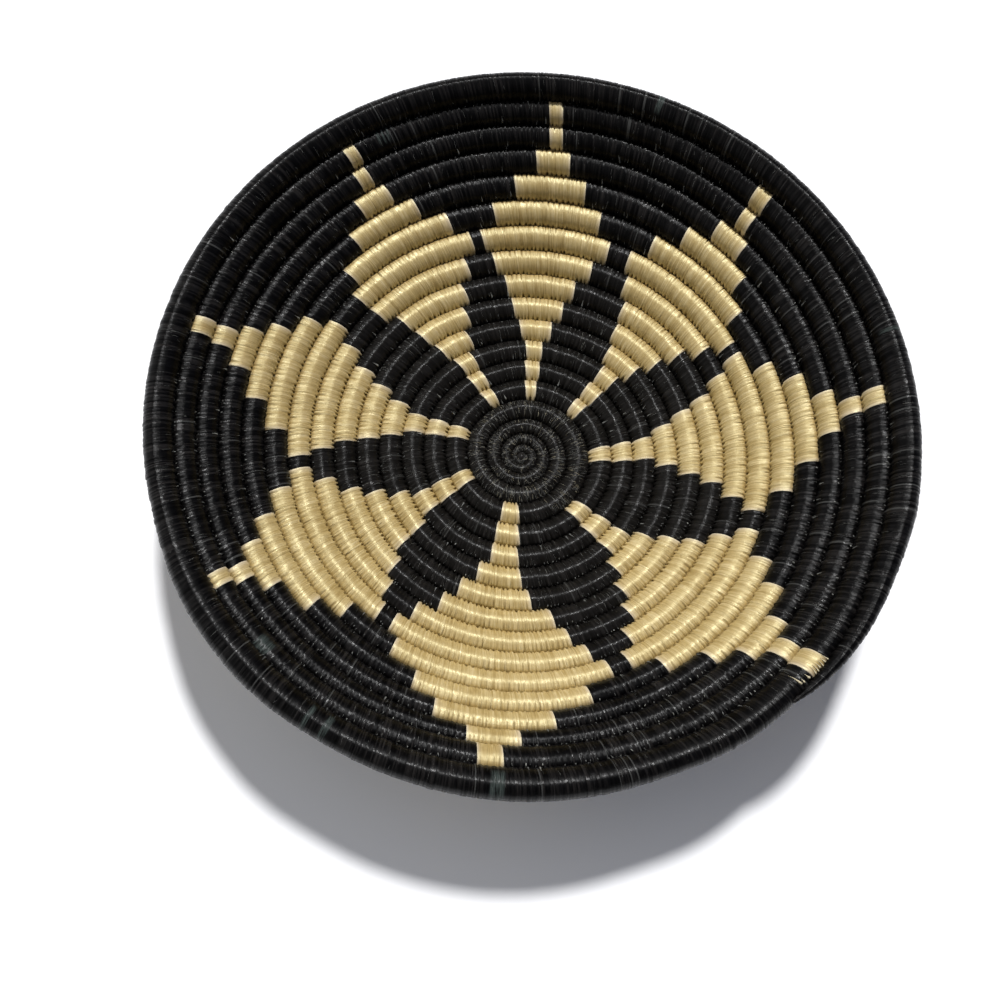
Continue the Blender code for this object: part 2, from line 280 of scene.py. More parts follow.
# %% [markdown]
# ## Counting out the stitches
# A stitch is a flat strand about 2.1 mm wide. No two are the same, so each stretch is divided into
# stitches of uneven width that still fill it exactly. From here on, a place along the coil can also
# be given as a stitch number: 812.5 is the middle of stitch 812. The random numbers are seeded, so
# every run lays the same stitches.

# %% Lay out the stitches
STITCH_WIDTH = 2.1 * MM
WIDTH_SPREAD = 0.24
NARROWEST, WIDEST = 0.5, 1.6
FINE_STEPS = 40000
chance = np.random.default_rng(29)
fine_turns = np.linspace(-CENTRE_TURNS, TAIL_END, FINE_STEPS + 1)
fine_radius = np.interp(groove(fine_turns) + round_width(fine_turns) / 2.0, wall_along, wall_radius)
fine_steps = 2.0 * np.pi * (fine_radius[1:] + fine_radius[:-1]) / 2.0 * np.diff(fine_turns)
fine_length = np.concatenate([[0.0], np.cumsum(fine_steps)])


def stitch_ends(start, end):
    """Turns at which the stitches of one stretch end, unevenly spaced."""
    first, last = np.interp([start, end], fine_turns, fine_length)
    count = max(round((last - first) / STITCH_WIDTH), 1)
    widths = np.clip(chance.normal(1.0, WIDTH_SPREAD, count), NARROWEST, WIDEST)
    lengths = first + (last - first) * np.cumsum(widths) / widths.sum()
    return np.interp(lengths, fine_length, fine_turns)


stretch_list = sorted(stretch for wrapping in wrappings for stretch in wrapping[3])
edges = np.concatenate([[-CENTRE_TURNS]] + [stitch_ends(*stretch) for stretch in stretch_list])
edge_numbers = np.arange(len(edges))
print("stitches:", len(edges) - 1, "over", round(float(fine_length[-1]), 2), "m of coil")

# %% [markdown]
# ## Character of each stitch
# Hand work shows in small differences. Each stitch gets its own height and tilt in millimetres, its
# own reach into the round before, its own share of a split into strands, and a looser or tighter gap
# before the next one. The fields below are lists with one number for every stitch.

# %% Give each stitch its character
HEIGHT_SPREAD = 0.05
TILT_SPREAD = 0.07
GAP_LEAST, GAP_RANGE = 0.1, 2.5
stitch_count = len(edges)
stitch_height = chance.normal(0.0, HEIGHT_SPREAD, stitch_count)
stitch_tilt = chance.normal(0.0, TILT_SPREAD, stitch_count)
stitch_split = chance.uniform(0.1, 1.0, stitch_count)
stitch_gap = GAP_LEAST + GAP_RANGE * chance.uniform(0.0, 1.0, stitch_count) ** 1.6
bite_depth = chance.uniform(0.25, 1.0, stitch_count) ** 0.7
bite_reach = chance.uniform(0.0, 1.0, stitch_count)
print("mean bite:", round(float(bite_depth.mean()), 2))

# %% [markdown]
# ## The section of a round
# Cut across, a wrapped round is a plump oval that presses into its neighbours. The list holds the
# directions in which the section is sampled, in degrees from the outer side over the crest to the
# inner side. They are closer together where the stitches bite, so that the bites come out crisp.
# The oval's sizes are shares of the round's width, its crest leans a little outwards, and the rim's
# round is fuller than the rest. The maker's grip also lets it sway in height by a hair.

# %% Shape the section
ROUND_UNDERSIDE = (-172, -150, -128, -106, -84, -60, -40, -24, -8)
ROUND_TOP = (5, 14, 22, 30, 38, 47, 58, 72, 89, 105, 119, 131, 141, 151, 162, 174)
directions = np.radians(ROUND_UNDERSIDE + ROUND_TOP)
SIDE_SHARE = 0.54
CREST_SHARE = 0.50
CREST_LEAN = 0.075
RIM_FULLNESS = 0.09
SLANT = 0.14


def smooth(low, high, value):
    """A soft step from 0 at low to 1 at high."""
    share = np.clip((value - low) / (high - low), 0.0, 1.0)
    return share * share * (3.0 - 2.0 * share)


def section(turn, direction):
    """Place across the round, height and lean of the plain oval, as shares of its width."""
    fuller = 1.0 + RIM_FULLNESS * smooth(12.9, 13.1, turn)
    sway = 1.0 + 0.010 * np.sin(turn * 41.0) + 0.008 * np.sin(turn * 67.0 + 2.0)
    across = SIDE_SHARE * fuller * np.cos(direction) + CREST_LEAN * np.sin(direction)
    upwards = CREST_SHARE * fuller * sway * np.sin(direction)
    return across, upwards, -SLANT * turns_of(round_width(turn), turn)


def section_point(turn, direction, raised):
    """Points that stand raised off the round's plain oval in some direction."""
    across, upwards, lean = section(turn, direction)
    along = groove(turn) + round_width(turn) * (0.5 + across) + raised * np.cos(direction)
    lift = round_width(turn) * upwards + raised * np.sin(direction)
    return wall_point(along, turn + lean * across, lift)


print("points round a section:", len(directions))

# %% [markdown]
# ## The relief of the stitches
# Three things shape the surface. Each stitch is a low rounded rib with a valley on either side.
# Near the inner groove it narrows to a tooth that bites into the round before, with a dark notch
# between one tooth and the next. Near the outer groove the stitches of the next round push in from
# outside and leave short slits, with a row of small beads between them. The slits need the
# number of the stitch that lies one round further out, which is why stitches are numbered all
# along the coil. Notches and slits close again where two rounds touch, or the bowl would let light
# through. A small tilt of each stitch, up on one flank and down on the other, makes the gloss
# jump from stitch to stitch as it does on real thread. The depths below are in millimetres.

# %% Define the relief
VALLEY_DEPTH = 0.04
TOOTH_VALLEY_DEPTH = 0.07
FLANK_VALLEY_DEPTH = 0.09
NOTCH_DEPTH = 0.80
SLIT_DEPTH = 0.75
STRAND_DEPTH = 0.15
TOOTH_RISE = 0.30
TROUGH_DEPTH = 0.14
BEAD_FOOT, BEAD_RISE = 0.02, 0.20
CLOSED_SHARE = 0.75
STRANDS = 3.0
SLIT_SPREAD = 0.11


def rib(share):
    """Rounded profile across a stitch, 0 at its edges and 1 on its back."""
    return np.sqrt(np.clip(1.0 - np.abs(2.0 * share - 1.0) ** 4.5, 0.0, 1.0))


def swell(place, middle, spread):
    """A soft hill of height 1 around its middle."""
    return np.exp(-(((place - middle) / spread) ** 2))


def slits(across, turn_beyond):
    """How far the stitches of the next round cut in, between 0 and 1."""
    beyond = np.interp(turn_beyond, edges, edge_numbers)
    outer = np.minimum(np.floor(beyond).astype(int), stitch_count - 1)
    cut = swell(beyond - outer, 0.5, SLIT_SPREAD) * bite_depth[outer] ** 2
    return cut * smooth(0.20, 0.46, across) * (turn_beyond < TAIL_END)


def relief(number, across, turn, lean):
    """How far the surface stands off the plain oval, and how deep it lies in a pit."""
    index = np.minimum(np.floor(number + 1e-6).astype(int), stitch_count - 1)
    share = number - index
    ridge = rib(share)
    gap = stitch_gap[np.minimum(np.round(number).astype(int), stitch_count - 1)]
    strand = rib((STRANDS * share + 0.5 * stitch_split[index]) % 1.0)
    bite = smooth(0.28, 0.48, -across)
    tooth = smooth(0.04, 0.36, np.minimum(share, 1.0 - share))
    flank = smooth(0.0, 0.40, across)
    valley = VALLEY_DEPTH + TOOTH_VALLEY_DEPTH * bite + FLANK_VALLEY_DEPTH * flank
    valley = valley * gap * (1.0 - ridge)
    notch = bite * (1.0 - tooth) * (0.4 + 0.3 * gap)
    slit = slits(across, turn + 1.0 - lean)
    still_open = 1.0 - CLOSED_SHARE * smooth(0.48, 0.53, np.abs(across))
    height = stitch_height[index] * ridge - valley - NOTCH_DEPTH * notch * still_open
    height = height - STRAND_DEPTH * stitch_split[index] * (1.0 - strand)
    height = height + stitch_tilt[index] * ridge * np.sin(2.0 * directions)
    height = height + TOOTH_RISE * bite * bite_reach[index] * tooth
    height = height - SLIT_DEPTH * slit * still_open
    height = height - TROUGH_DEPTH * swell(across, 0.36, 0.06)
    height = height + (BEAD_FOOT + BEAD_RISE * ridge) * swell(across, 0.475, 0.05)
    # Painted shade: the pit share darkens the natural thread in valleys, notches, slits and the groove,
    # and dulls them.
    groove_painted_shade = 0.3 * smooth(0.47, 0.54, np.abs(across))
    pit = np.clip(1.2 * valley + 1.5 * notch + 1.0 * slit + groove_painted_shade, 0.0, 1.0)
    return height * MM, pit


print("rib profile:", [round(float(rib(share)), 2) for share in (0.0, 0.1, 0.25, 0.5)])

# %% [markdown]
# ## Painted highlights and wear along the coil
# The last strand at either end of a natural stretch lies on top of the black one and catches the
# light, so it is painted paler: a painted highlight. The dyed thread has a few faded places on the
# rim, where the dye didn't take. Both are kept as one number between 0 and 1, made of real wear
# and painted highlight.

# %% Place the wear and the painted highlights
FADED_PLACES = (
    # turn, half its length in turns
    (12.201, 0.0040),
    (12.4940, 0.0007),
    (12.4965, 0.0005),
    (12.4988, 0.0007),
    (13.0835, 0.0028),
    (13.1565, 0.0014),
    (13.165, 0.0011),
    (13.631, 0.0014),
    (13.782, 0.0008),
)
PALE_END = 0.4


def wear_and_painted_highlight(number, first, last, turn, across):
    """Painted highlight at the ends of a natural stretch, and real fading in the faded places."""
    natural = is_natural(edges[[(first + last) // 2]] - 1e-6)
    # The paler ends of a natural stretch are a painted highlight, for the top strand that catches the
    # light.
    wear_and_highlight = natural * np.exp(-(np.minimum(number - first, last - number) / PALE_END))
    for middle, half in FADED_PLACES:
        inside = smooth(1.15, 0.85, np.abs(turn - middle) / half)
        wear_and_highlight = np.maximum(wear_and_highlight, inside * smooth(-0.1, 0.2, across))
    return wear_and_highlight


print("faded places:", len(FADED_PLACES))

# %% [markdown]
# ## From stitches to a surface
# The surface of a stretch is a sleeve: eight sections for each stitch, joined ring to ring. The
# stitches lean a little, with their outer end further back, so a section isn't quite square to
# the coil. The sleeve also keeps a chart for the materials: how many stitches along and how
# many metres round the section a point lies, and its share of wear and painted highlight.
# Materials can then draw fibres that follow the thread.

# %% Build sleeves of stitches
SAMPLES = 8
side_steps = np.diff(np.cos(directions)) * SIDE_SHARE
crest_steps = np.diff(np.sin(directions)) * CREST_SHARE
section_place = np.concatenate([[0.0], np.cumsum(np.hypot(side_steps, crest_steps))])


def sleeve(start, end):
    """Points, charts and pits of one stretch: rings of the section, one after another."""
    first, last = np.searchsorted(edges, [start - 1e-9, end - 1e-9])
    number = np.arange((last - first) * SAMPLES + 1)[:, None] / SAMPLES + first
    turn = np.interp(number, edge_numbers, edges)
    across, upwards, lean = section(turn, directions)
    raised, pit = relief(number, across, turn + lean * across, lean * -0.5)
    points = section_point(turn, directions, raised)
    wear_and_highlight = wear_and_painted_highlight(number, first, last, turn + lean * across, across)
    chart = np.stack([number + 0.0 * across, round_width(turn) * section_place, wear_and_highlight], axis=-1)
    return points, chart, pit


print("points in a hundredth of a round:", sleeve(5.0, 5.01)[2].size)

# %% [markdown]
# ## Sleeves become meshes
# Neighbouring rings are joined by four-sided faces, whose corners run round the section first and
# then along the coil, so that all faces look outwards. A small fan closes each end, round a tip in
# the middle of the last ring. The chart and the pits are stored on the mesh as attributes, which a
# material reads by name.

# %% Join rings into a mesh
AROUND = len(directions)


def sleeve_faces(rings, base, around=AROUND):
    """Faces between rings that begin at vertex base, with a fan at either end."""
    ring = base + around * np.arange(rings - 1)[:, None]
    here = np.arange(around)[None, :]
    after = (here + 1) % around
    sides = np.stack([ring + here, ring + after, ring + around + after, ring + around + here], axis=-1)
    last = base + around * (rings - 1)
    tip = base + around * rings
    fan = [(tip, base + (k + 1) % around, base + k) for k in range(around)]
    fan += [(tip + 1, last + k, last + (k + 1) % around) for k in range(around)]
    return sides.reshape(-1, 4).tolist() + fan


def with_tips(rings, size=3):
    """All the rings' values in one list, then those of the tip at either end."""
    tips = np.stack([rings[0].mean(axis=0), rings[-1].mean(axis=0)])
    return np.concatenate([rings.reshape(-1, size), tips.reshape(-1, size)])


def mesh_piece(name, points, faces, material):
    """A smooth mesh object with one material."""
    mesh = bpy.data.meshes.new(name)
    mesh.from_pydata(points, [], faces)
    mesh.polygons.foreach_set("use_smooth", np.ones(len(mesh.polygons), bool))
    mesh.materials.append(material)
    piece = bpy.data.objects.new(name, mesh)
    bpy.context.scene.collection.objects.link(piece)
    return piece


def store_numbers(piece, name, values):
    """Keeps one number for every vertex on the mesh."""
    stored = piece.data.attributes.new(name, "FLOAT", "POINT")
    stored.data.foreach_set("value", values)


def stitched_piece(name, stretches, material):
    """One wrapping as a mesh: a sleeve for each of its stretches."""
    points, charts, pits, faces = [], [], [], []
    base = 0
    for start, end in stretches:
        place, chart, pit = sleeve(start, end)
        points.append(with_tips(place))
        charts.append(with_tips(chart))
        pits.append(with_tips(pit, 1))
        faces += sleeve_faces(len(place), base)
        base += len(points[-1])
    piece = mesh_piece(name, np.concatenate(points), faces, material)
    stored = piece.data.attributes.new("stitch_chart", "FLOAT_VECTOR", "POINT")
    stored.data.foreach_set("vector", np.concatenate(charts).ravel())
    store_numbers(piece, "pit", np.concatenate(pits).ravel())
    return piece


print("faces in two rings:", len(sleeve_faces(2, 0)))

# %% [markdown]
# ## A kit for materials
# Materials here are networks of nodes without any picture file. These small helpers add a node, wire
# its inputs, do sums, mix colours and read what the sleeves carry, so each finish below stays short
# to read.

# %% Make node helpers
def add_node(tree, kind, inputs=(), **settings):
    """Adds a node, sets its choices and fills its inputs with values or links."""
    node = tree.nodes.new("ShaderNode" + kind)
    for key, value in settings.items():
        setattr(node, key, value)
    for key, value in dict(inputs).items():
        if isinstance(value, bpy.types.NodeSocket):
            tree.links.new(value, node.inputs[key])
        else:
            node.inputs[key].default_value = value
    return node


def calculate(tree, operation, first, second=0.0):
    """One step of arithmetic on numbers or links."""
    return add_node(tree, "Math", {0: first, 1: second}, operation=operation).outputs[0]


def weighted_sum(tree, *parts):
    """Adds up links, each of them times its weight."""
    total = 0.0
    for link, weight in parts:
        total = calculate(tree, "ADD", total, calculate(tree, "MULTIPLY", link, weight))
    return total


def ramp(tree, factor, *stops):
    """A colour ramp with the given (position, colour) stops."""
    node = add_node(tree, "ValToRGB", {"Fac": factor})
    while len(node.color_ramp.elements) < len(stops):
        node.color_ramp.elements.new(0.5)
    for element, (position, colour) in zip(node.color_ramp.elements, stops):
        element.position = position
        element.color = (*colour, 1.0)
    return node.outputs["Color"]


def mix(tree, share, colour, other):
    """The first colour where the share is 0, turning into the other, a plain one, at 1."""
    inputs = {"Fac": share, "Color1": colour, "Color2": (*other, 1.0)}
    return add_node(tree, "MixRGB", inputs).outputs[0]


def rescale(tree, value, low, high, to_low=0.0, to_high=1.0):
    """Maps one range of numbers onto another, and holds what lies outside at its ends."""
    inputs = {"Value": value, 1: low, 2: high, 3: to_low, 4: to_high}
    return add_node(tree, "MapRange", inputs).outputs[0]


def stored_number(tree, name):
    """Reads a number that the mesh keeps for every vertex."""
    return add_node(tree, "Attribute", attribute_name=name).outputs["Fac"]


def new_finish(name):
    """A material with its node tree and its main shader."""
    material = bpy.data.materials.new(name)
    material.use_nodes = True
    return material, material.node_tree, material.node_tree.nodes["Principled BSDF"]


print("node helpers ready")

# %% [markdown]
# ## How sisal thread varies
# Sisal is a bundle of long, straight, glossy leaf fibres. Three scales of variation matter: every
# stitch has its own tone, every strand within it differs a little, and thin fibres run along the
# thread. White noise on the rounded-down stitch number gives the tone of a stitch, and a noise that
# is stretched along the thread draws the fibres.

# %% Describe the thread for a material
TONES_IN_A_STITCH = 4.0
TONE_OFFSET = 0.37
FIBRES_IN_A_STITCH = 6.5
FIBRE_BREAKS = 130.0


def thread_chart(tree):
    """What the sleeve's chart holds: stitch number, metres round the section, and fading with painted
    highlight.
    """
    chart = add_node(tree, "Attribute", attribute_name="stitch_chart").outputs["Vector"]
    return add_node(tree, "SeparateXYZ", {0: chart}).outputs


def tone_of(tree, number):
    """An even random tone for every number."""
    return add_node(tree, "TexWhiteNoise", {"W": number}, noise_dimensions="1D").outputs["Value"]


def thread_pattern(tree):
    """Tone of the stitch, tone of the strand, fibres, and fading with painted highlight, each between 0
    and 1.
    """
    along, around, wear_and_highlight = thread_chart(tree)
    stitch_tone = tone_of(tree, calculate(tree, "FLOOR", along))
    strand = calculate(tree, "FLOOR", calculate(tree, "MULTIPLY", along, TONES_IN_A_STITCH))
    strand_tone = tone_of(tree, calculate(tree, "ADD", strand, TONE_OFFSET))
    across = calculate(tree, "MULTIPLY", along, FIBRES_IN_A_STITCH)
    down = calculate(tree, "MULTIPLY", around, FIBRE_BREAKS)
    grain = add_node(tree, "CombineXYZ", {0: across, 1: down})
    inputs = {"Vector": grain.outputs[0], "Scale": 1.0, "Detail": 3.0, "Roughness": 0.7}
    fibres = add_node(tree, "TexNoise", inputs, noise_dimensions="2D").outputs["Fac"]
    return stitch_tone, strand_tone, fibres, wear_and_highlight


print("thread pattern ready")

# %% [markdown]
# ## The gloss of sisal
# A fibre is a smooth round rod, so it mirrors a lamp as a thin line that crosses the thread and runs
# on along the coil. That is an anisotropic gloss: its direction here is the cross product of
# straight up and the way from the coil's middle. Strands differ in how smooth they are, the pits are
# dull, and a fine bump lets the fibres stand up and break the line into dashes.

# %% Describe the gloss
GLOSS_DRAWN_OUT = 0.9
DULL_TONE = 0.22
GLOSSY_TONE = 0.76
PIT_ROUGHNESS = 0.9


def raise_fibres(tree, shader, fibres, depth):
    """Lets the fibres stand up from the thread."""
    inputs = {"Height": fibres, "Distance": depth, "Strength": 1.0}
    bump = add_node(tree, "Bump", inputs)
    tree.links.new(bump.outputs["Normal"], shader.inputs["Normal"])


def uneven_gloss(tree, shader, strand_tone, fibres, dull, glossy):
    """A gloss that is drawn out along the coil, square to the fibres, and differs by strand."""
    place = add_node(tree, "NewGeometry").outputs["Position"]
    from_middle = add_node(tree, "VectorMath", {0: place, 1: tuple(COIL_MIDDLE)}, operation="SUBTRACT")
    inputs = {0: (0.0, 0.0, 1.0), 1: from_middle.outputs[0]}
    coilwards = add_node(tree, "VectorMath", inputs, operation="CROSS_PRODUCT")
    tree.links.new(coilwards.outputs[0], shader.inputs["Tangent"])
    shader.inputs["Anisotropic"].default_value = GLOSS_DRAWN_OUT
    both = calculate(tree, "MULTIPLY", calculate(tree, "ADD", strand_tone, fibres), 0.5)
    rough = rescale(tree, both, DULL_TONE, GLOSSY_TONE, dull, glossy)
    dull_pit = calculate(tree, "MULTIPLY", stored_number(tree, "pit"), PIT_ROUGHNESS)
    rough = calculate(tree, "MAXIMUM", rough, dull_pit)
    tree.links.new(rough, shader.inputs["Roughness"])


print("gloss ready")

# %% [markdown]
# ## Natural sisal
# Undyed sisal is pale straw with a satin gloss. Its pits between the stitches are painted a darker
# warm brown as painted shade, standing in for the shade and golden bounced light down there. The
# tones are mixed into one number that picks a colour from a ramp. A broad noise adds the patches
# where thread of another hank was used.

# %% Mix the natural sisal
STRAW_SHADE = (0.32, 0.212, 0.072)
STRAW = (0.480, 0.348, 0.143)
STRAW_LIGHT = (0.64, 0.503, 0.264)
# Painted highlight for the paler ends of a stretch.
STRAW_PAINTED_HIGHLIGHT = (0.68, 0.58, 0.43)
# Painted shade for the pits between the stitches.
STRAW_PAINTED_SHADE = (0.16, 0.098, 0.030)
PATCH_SCALE = 28.0


def natural_sisal():
    """Pale, glossy, undyed sisal."""
    material, tree, shader = new_finish("natural_sisal_thread")
    stitch_tone, strand_tone, fibres, wear_and_highlight = thread_pattern(tree)
    place = add_node(tree, "TexCoord").outputs["Object"]
    inputs = {"Vector": place, "Scale": PATCH_SCALE, "Detail": 2.0}
    patches = add_node(tree, "TexNoise", inputs).outputs["Fac"]
    parts = ((stitch_tone, 0.12), (strand_tone, 0.22), (fibres, 0.95), (patches, 0.18))
    tone = weighted_sum(tree, *parts)
    colour = ramp(tree, tone, (0.49, STRAW_SHADE), (0.73, STRAW), (0.99, STRAW_LIGHT))
    # Painted highlight: the ends of each natural stretch are painted paler.
    colour = mix(tree, wear_and_highlight, colour, STRAW_PAINTED_HIGHLIGHT)
    # Painted shade: valleys, notches, slits and grooves are painted a darker warm brown.
    colour = mix(tree, stored_number(tree, "pit"), colour, STRAW_PAINTED_SHADE)
    tree.links.new(colour, shader.inputs["Base Color"])
    shader.inputs["IOR"].default_value = 1.9
    shader.inputs["Specular IOR Level"].default_value = 1.0
    shader.inputs["Specular Tint"].default_value = (1.0, 0.95, 0.60, 1.0)
    uneven_gloss(tree, shader, strand_tone, fibres, 0.70, 0.42)
    raise_fibres(tree, shader, fibres, 0.20 * MM)
    return material


natural_thread = natural_sisal()
print("made", natural_thread.name)

# %% [markdown]
# ## Black sisal
# The dyed thread is nearly black, but never evenly: a few strands stay brownish grey, the faded
# places turn a dull grey green, and the gloss of the fibres shows as thin pale dashes. A threshold on
# the strand's tone picks out the rare pale ones. The inner rounds are a little dusty, and the
# stitch numbers tell the material where the dust ends.

# %% Mix the black sisal
BLACK_SHADE = (0.0008, 0.0007, 0.0008)
BLACK = (0.0022, 0.0020, 0.0021)
BLACK_LIGHT = (0.020, 0.018, 0.017)
PALE_STRAND = (0.040, 0.040, 0.038)
DUST = (0.016, 0.0142, 0.0115)
FADED = (0.056, 0.070, 0.064)
RARE_TONE = 0.985
DUSTY_TURNS = (5.0, 9.0)
MOST_DUST = 0.56


def black_sisal():
    """Dyed sisal, nearly black, with a few faded strands."""
    material, tree, shader = new_finish("black_sisal_thread")
    stitch_tone, strand_tone, fibres, wear_and_highlight = thread_pattern(tree)
    tone = weighted_sum(tree, (stitch_tone, 0.10), (strand_tone, 0.36), (fibres, 0.54))
    colour = ramp(tree, tone, (0.30, BLACK_SHADE), (0.50, BLACK), (0.80, BLACK_LIGHT))
    colour = mix(tree, calculate(tree, "GREATER_THAN", strand_tone, RARE_TONE), colour, PALE_STRAND)
    thick, none = np.interp(DUSTY_TURNS, edges, edge_numbers)
    dusty = rescale(tree, thread_chart(tree)[0], thick, none, MOST_DUST, 0.0)
    colour = mix(tree, calculate(tree, "MULTIPLY", dusty, fibres), colour, DUST)
    streaks = rescale(tree, fibres, 0.35, 0.65)
    colour = mix(tree, calculate(tree, "MULTIPLY", wear_and_highlight, streaks), colour, FADED)
    tree.links.new(colour, shader.inputs["Base Color"])
    shader.inputs["Specular IOR Level"].default_value = 0.13
    uneven_gloss(tree, shader, strand_tone, fibres, 0.60, 0.20)
    raise_fibres(tree, shader, fibres, 0.08 * MM)
    return material


black_thread = black_sisal()
threads = {"natural_sisal": natural_thread, "black_sisal": black_thread}
print("made", black_thread.name)

# %% [markdown]
# ## Wrap the coil
# Every wrapping in the plan becomes one stitched piece. It rides on the basket's body, takes its
# finish from the record's slot, and hides the plain CAD solid it stands for.

# %% Wrap the whole coil
triangles = []
for name, node_name, slot, stretches in wrappings:
    piece = stitched_piece("stitches_" + name, stretches, threads[slot])
    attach(piece, "root")
    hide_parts(node_name)
    triangles.append(2 * len(piece.data.polygons))
print("stitched pieces:", len(triangles), "triangles:", sum(triangles), "largest:", max(triangles))

# %% [markdown]
# ## Loose fibres
# Sisal is stiff, so a few fibres always break loose. Each one is a thin tube with three sides that
# follows the oval section of its round. One function makes them all from lists of numbers: where
# each begins, how far it sweeps round the section, how far it slips along the coil, how high it
# stands and how thick it is. A fibre is tapered at both ends, or, as a wedge, at its start alone.

# %% Lay loose fibres
FIBRE_RINGS = 6
LEAST_STAND = 0.02 * MM
POINTED_TIP = 0.25
WEDGE_TIP = 0.08


def fibre_points(turn, direction, sweep, skew, height, thickness, wedge=0.0):
    """Tubes of three sides for a list of fibres, tapered at both ends or like a wedge."""
    share = np.linspace(0.0, 1.0, FIBRE_RINGS)[None, :]
    turns = turn[:, None] + turns_of(skew[:, None] * (share - 0.5), turn[:, None])
    heading = direction[:, None] + sweep[:, None] * share
    arch = (1.0 - wedge) * np.sin(np.pi * share) + wedge * np.sqrt(share)
    stand = LEAST_STAND + height[:, None] * arch
    middle = section_point(turns, heading, stand)
    outward = section_point(turns, heading, stand + 1.0 * MM) - middle
    outward = outward / np.linalg.norm(outward, axis=-1, keepdims=True)
    sideways = np.cross(np.gradient(middle, axis=1), outward)
    sideways = sideways / np.linalg.norm(sideways, axis=-1, keepdims=True)
    pointed = POINTED_TIP + (1.0 - POINTED_TIP) * np.sin(np.pi * (0.1 + 0.8 * share))
    wedged = WEDGE_TIP + (1.0 - WEDGE_TIP) * share ** 1.4
    taper = thickness[:, None] * ((1.0 - wedge) * pointed + wedge * wedged)
    corner = np.radians((90.0, 210.0, 330.0))
    out_part = 0.5 * np.sin(corner)[None, None, :, None] * outward[:, :, None, :]
    side_part = np.cos(corner)[None, None, :, None] * sideways[:, :, None, :]
    return middle[:, :, None, :] + taper[:, :, None, None] * (out_part + side_part)


def fibre_piece(name, points, shades, material):
    """One mesh of many fibres, with a shade between 0 and 1 for each."""
    count = len(points)
    body = points.reshape(count, -1, 3)
    tips = np.stack([points[:, 0].mean(axis=1), points[:, -1].mean(axis=1)], axis=1)
    places = np.concatenate([body, tips], axis=1)
    each = places.shape[1]
    faces = sum((sleeve_faces(FIBRE_RINGS, each * number, 3) for number in range(count)), [])
    piece = mesh_piece(name, places.reshape(-1, 3), faces, material)
    store_numbers(piece, "shade", np.repeat(shades, each))
    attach(piece, "root")
    return piece


def black_places(count, low, high):
    """Random turns on black thread, spread evenly over the length of the coil."""
    lengths = chance.uniform(*np.interp([low, high], fine_turns, fine_length), 3 * count)
    turns = np.interp(lengths, fine_length, fine_turns)
    return turns[~is_natural(turns)][:count]


print("a fibre has", 3 * FIBRE_RINGS + 2, "points")

# %% [markdown]
# ## Pale thread for the fibres
# The fibres run from dark grey over dull green grey to raw straw. The shade that each fibre carries
# picks its colour, and a fine noise breaks the colour up along it.

# %% Mix the pale fibre
FIBRE_DARK = (0.04, 0.04, 0.038)
FIBRE_GREY = (0.175, 0.177, 0.166)
FIBRE_LIGHT = (0.36, 0.36, 0.32)
FIBRE_STRAW = (0.62, 0.54, 0.36)


def pale_fibre():
    """Stiff, pale, half glossy fibre."""
    material, tree, shader = new_finish("pale_fibre")
    place = add_node(tree, "TexCoord").outputs["Object"]
    noise = add_node(tree, "TexNoise", {"Vector": place, "Scale": 900.0}).outputs["Fac"]
    tone = weighted_sum(tree, (stored_number(tree, "shade"), 1.0), (noise, 0.3))
    dark_stops = (0.1, FIBRE_DARK), (0.6, FIBRE_GREY)
    pale_stops = (0.85, FIBRE_LIGHT), (1.0, FIBRE_STRAW)
    colour = ramp(tree, tone, *dark_stops, *pale_stops)
    tree.links.new(colour, shader.inputs["Base Color"])
    shader.inputs["Roughness"].default_value = 0.55
    shader.inputs["Specular IOR Level"].default_value = 0.3
    return material


fibre_finish = pale_fibre()
print("made", fibre_finish.name)

# %% [markdown]
# ## Hairs on the black thread
# Broken fibres lie over the black stitches as thin pale hairs. The plain centre has by far the most
# of them for its size, and the inner rounds of the pattern come next.

# %% Scatter the hairs
HAIR_SPREAD = (
    # hairs, first and last turn
    (1500, 0.0, 13.90),
    (900, 0.0, 5.0),
    (1600, -4.3, 0.0),
)
CENTRE_SHADE = 0.25
hair_turns = np.concatenate([black_places(*spread) for spread in HAIR_SPREAD])
count = len(hair_turns)
hairs = fibre_points(
    turn=hair_turns,
    direction=np.radians(chance.uniform(10.0, 110.0, count)),
    sweep=np.radians(chance.uniform(12.0, 50.0, count)),
    skew=chance.normal(0.0, 0.4, count) * MM,
    height=chance.uniform(0.03, 0.15, count) * MM,
    thickness=chance.uniform(0.022, 0.055, count) * MM,
)
hair_shades = chance.uniform(0.0, 0.6, count) + CENTRE_SHADE * (hair_turns < 0.0)
hair_piece = fibre_piece("loose_fibres", hairs, hair_shades, fibre_finish)
print("hairs:", len(hairs))

# %% [markdown]
# ## Teeth in the grooves
# Where a black stitch bites into the round before, the undyed core of a strand can look out. Most
# of these teeth are tiny, and a few are long wedges, so their size is a random number to the third
# power. A larger one starts nearer to the crest and sweeps further round.

# %% Set the pale teeth
tooth_turns = black_places(700, 0.0, 13.86)
count = len(tooth_turns)
tooth_size = chance.uniform(0.0, 1.0, count) ** 3
teeth = fibre_points(
    turn=tooth_turns,
    direction=np.radians(chance.uniform(112.0, 136.0, count) - 16.0 * tooth_size),
    sweep=np.radians(chance.uniform(10.0, 16.0, count) + 22.0 * tooth_size),
    skew=chance.normal(0.0, 0.25, count) * MM,
    height=chance.uniform(0.05, 0.20, count) * MM,
    thickness=(0.10 + 0.55 * tooth_size) * MM,
    wedge=1.0,
)
tooth_piece = fibre_piece("pale_teeth", teeth, chance.uniform(0.15, 0.6, count), fibre_finish)
print("pale teeth:", len(teeth))
